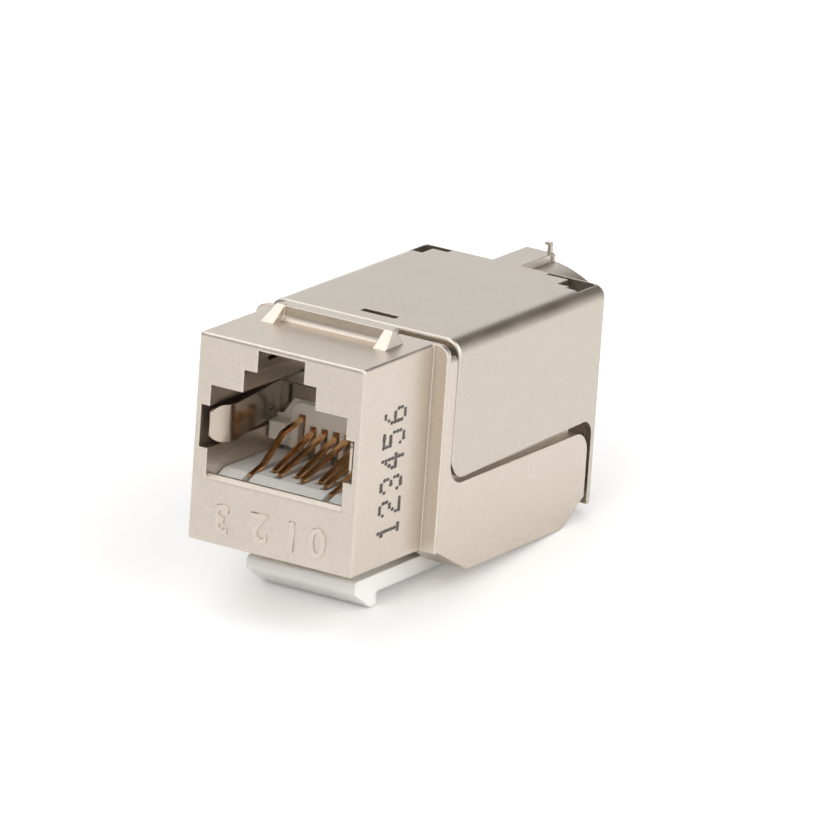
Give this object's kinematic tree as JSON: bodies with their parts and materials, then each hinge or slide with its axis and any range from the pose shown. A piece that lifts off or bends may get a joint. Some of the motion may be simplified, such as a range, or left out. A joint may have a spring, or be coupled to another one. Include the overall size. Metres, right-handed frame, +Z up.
{
  "type": "keystone jack",
  "caption": "Shielded metal network jack for a keystone panel, with an upside-down plug port, hinged rear cover, plastic snap latch and a cable tie tongue.",
  "frame": {"origin": "middle of the whole jack's footprint, across and front to back, at the level of the panel latch's lowest point", "axes": "+Y from the plug port at the front to the cable end at the back, along the longest side; +Z up, from the panel latch to the cover's top; +X to the right seen from the port"},
  "size_m": [0.017, 0.037, 0.0216],
  "materials": {
    "nickel_casting": "satin nickel plate on a zinc casting",
    "nickel_cover": "satin nickel plate",
    "white_plastic": "moulded, slightly satin",
    "grey_plastic": "moulded, matt",
    "spring_metal": "bright nickel plated sheet",
    "contact_gold": "gold plated phosphor bronze",
    "tinned_bronze": "tin plated",
    "board_laminate": "green solder resist"
  },
  "bodies": {
    "housing": {"front_housing": "nickel_casting", "rear_body": "nickel_casting", "contact_tray": "white_plastic", "comb_block": "grey_plastic", "shield_spring": "spring_metal", "circuit_board": "board_laminate", "terminal_block": "grey_plastic", "terminal_1": "tinned_bronze", "terminal_2": "tinned_bronze", "terminal_3": "tinned_bronze", "terminal_4": "tinned_bronze", "terminal_5": "tinned_bronze", "terminal_6": "tinned_bronze", "terminal_7": "tinned_bronze", "terminal_8": "tinned_bronze", "wire_cap": "white_plastic"},
    "cover": {"top_cover": "nickel_cover"},
    "latch": {"keystone_latch": "white_plastic"},
    "contact_1": {"contact_1": "contact_gold"},
    "contact_2": {"contact_2": "contact_gold"},
    "contact_3": {"contact_3": "contact_gold"},
    "contact_4": {"contact_4": "contact_gold"},
    "contact_5": {"contact_5": "contact_gold"},
    "contact_6": {"contact_6": "contact_gold"},
    "contact_7": {"contact_7": "contact_gold"},
    "contact_8": {"contact_8": "contact_gold"}
  },
  "joints": [
    {"name": "cover_hinge", "type": "hinge", "parent": "housing", "child": "cover", "pos_m": [0, -0.0042, 0.0188], "axis": [1, 0, 0], "range_deg": [0, 95]},
    {"name": "latch_flex", "type": "hinge", "parent": "housing", "child": "latch", "pos_m": [0, 0.0001, 0.0028], "axis": [-1, 0, 0], "range_deg": [0, 6.5], "stiffness_Nm_per_rad": 1},
    {"name": "contact_1_flex", "type": "hinge", "parent": "housing", "child": "contact_1", "pos_m": [-0.00357, -0.0085, 0.0079], "axis": [1, 0, 0], "range_deg": [0, 4], "stiffness_Nm_per_rad": 0.05},
    {"name": "contact_2_flex", "type": "hinge", "parent": "housing", "child": "contact_2", "pos_m": [-0.00255, -0.0085, 0.0079], "axis": [1, 0, 0], "range_deg": [0, 4], "stiffness_Nm_per_rad": 0.05},
    {"name": "contact_3_flex", "type": "hinge", "parent": "housing", "child": "contact_3", "pos_m": [-0.00153, -0.0085, 0.0079], "axis": [1, 0, 0], "range_deg": [0, 4], "stiffness_Nm_per_rad": 0.05},
    {"name": "contact_4_flex", "type": "hinge", "parent": "housing", "child": "contact_4", "pos_m": [-0.00051, -0.0085, 0.0079], "axis": [1, 0, 0], "range_deg": [0, 4], "stiffness_Nm_per_rad": 0.05},
    {"name": "contact_5_flex", "type": "hinge", "parent": "housing", "child": "contact_5", "pos_m": [0.00051, -0.0085, 0.0079], "axis": [1, 0, 0], "range_deg": [0, 4], "stiffness_Nm_per_rad": 0.05},
    {"name": "contact_6_flex", "type": "hinge", "parent": "housing", "child": "contact_6", "pos_m": [0.00153, -0.0085, 0.0079], "axis": [1, 0, 0], "range_deg": [0, 4], "stiffness_Nm_per_rad": 0.05},
    {"name": "contact_7_flex", "type": "hinge", "parent": "housing", "child": "contact_7", "pos_m": [0.00255, -0.0085, 0.0079], "axis": [1, 0, 0], "range_deg": [0, 4], "stiffness_Nm_per_rad": 0.05},
    {"name": "contact_8_flex", "type": "hinge", "parent": "housing", "child": "contact_8", "pos_m": [0.00357, -0.0085, 0.0079], "axis": [1, 0, 0], "range_deg": [0, 4], "stiffness_Nm_per_rad": 0.05}
  ]
}
